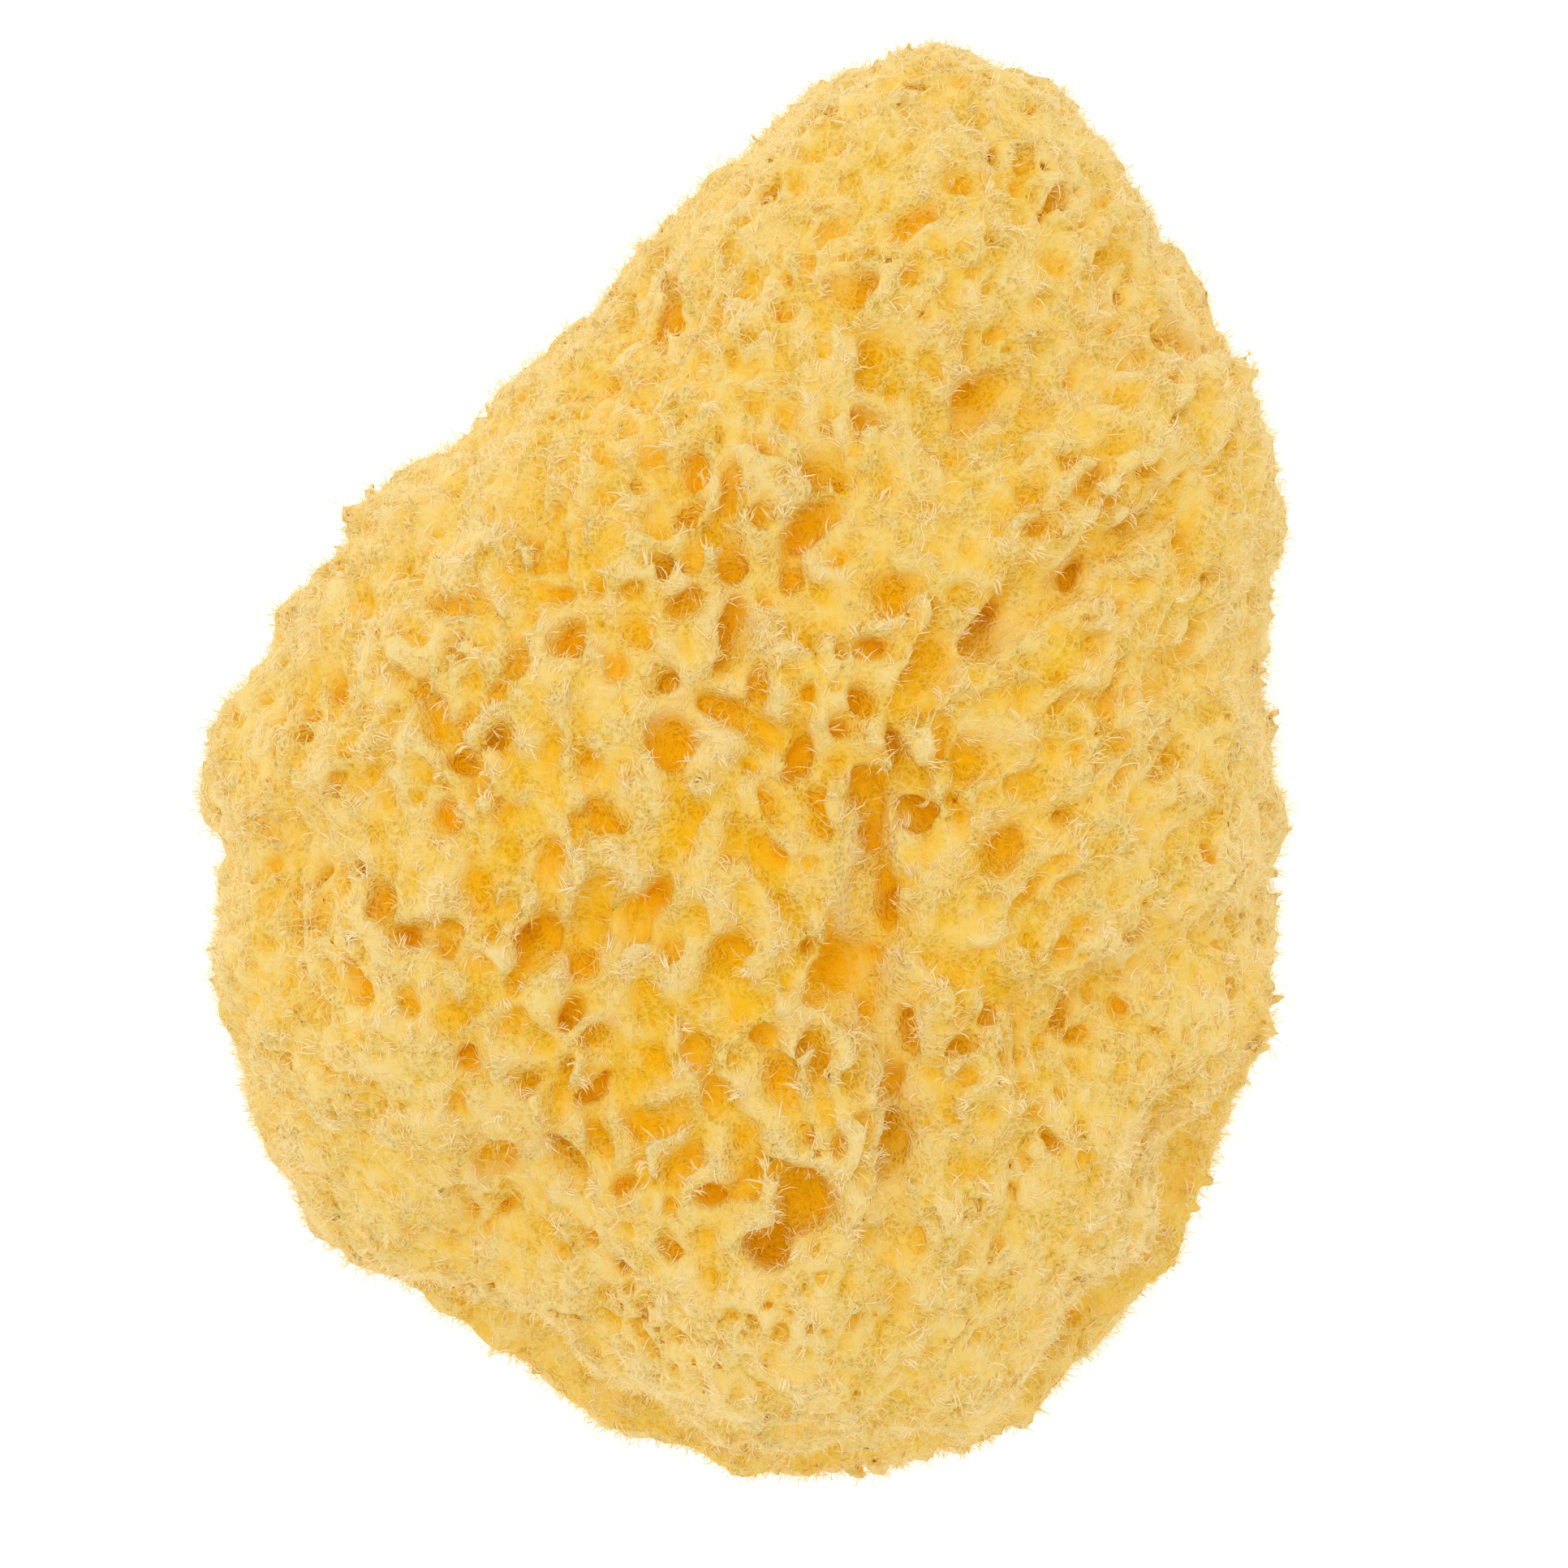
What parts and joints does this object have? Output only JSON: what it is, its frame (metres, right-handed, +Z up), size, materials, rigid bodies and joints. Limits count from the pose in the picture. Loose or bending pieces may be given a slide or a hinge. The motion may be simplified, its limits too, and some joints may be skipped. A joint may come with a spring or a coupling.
{
  "type": "natural sea sponge",
  "caption": "Natural sea sponge, a rounded golden dome full of soft pores and pits, cut flat underneath, for washing, painting or display.",
  "frame": {"origin": "on the flat cut underside, under the middle of the sponge's box", "axes": "+Z up from the cut face, +Y along the long way towards the narrow end, +X to the right seen from above"},
  "size_m": [0.0762, 0.1, 0.0492],
  "materials": {
    "sponge": "dull golden sponge fibre"
  },
  "bodies": {
    "root": {"sponge": "sponge"}
  },
  "joints": []
}
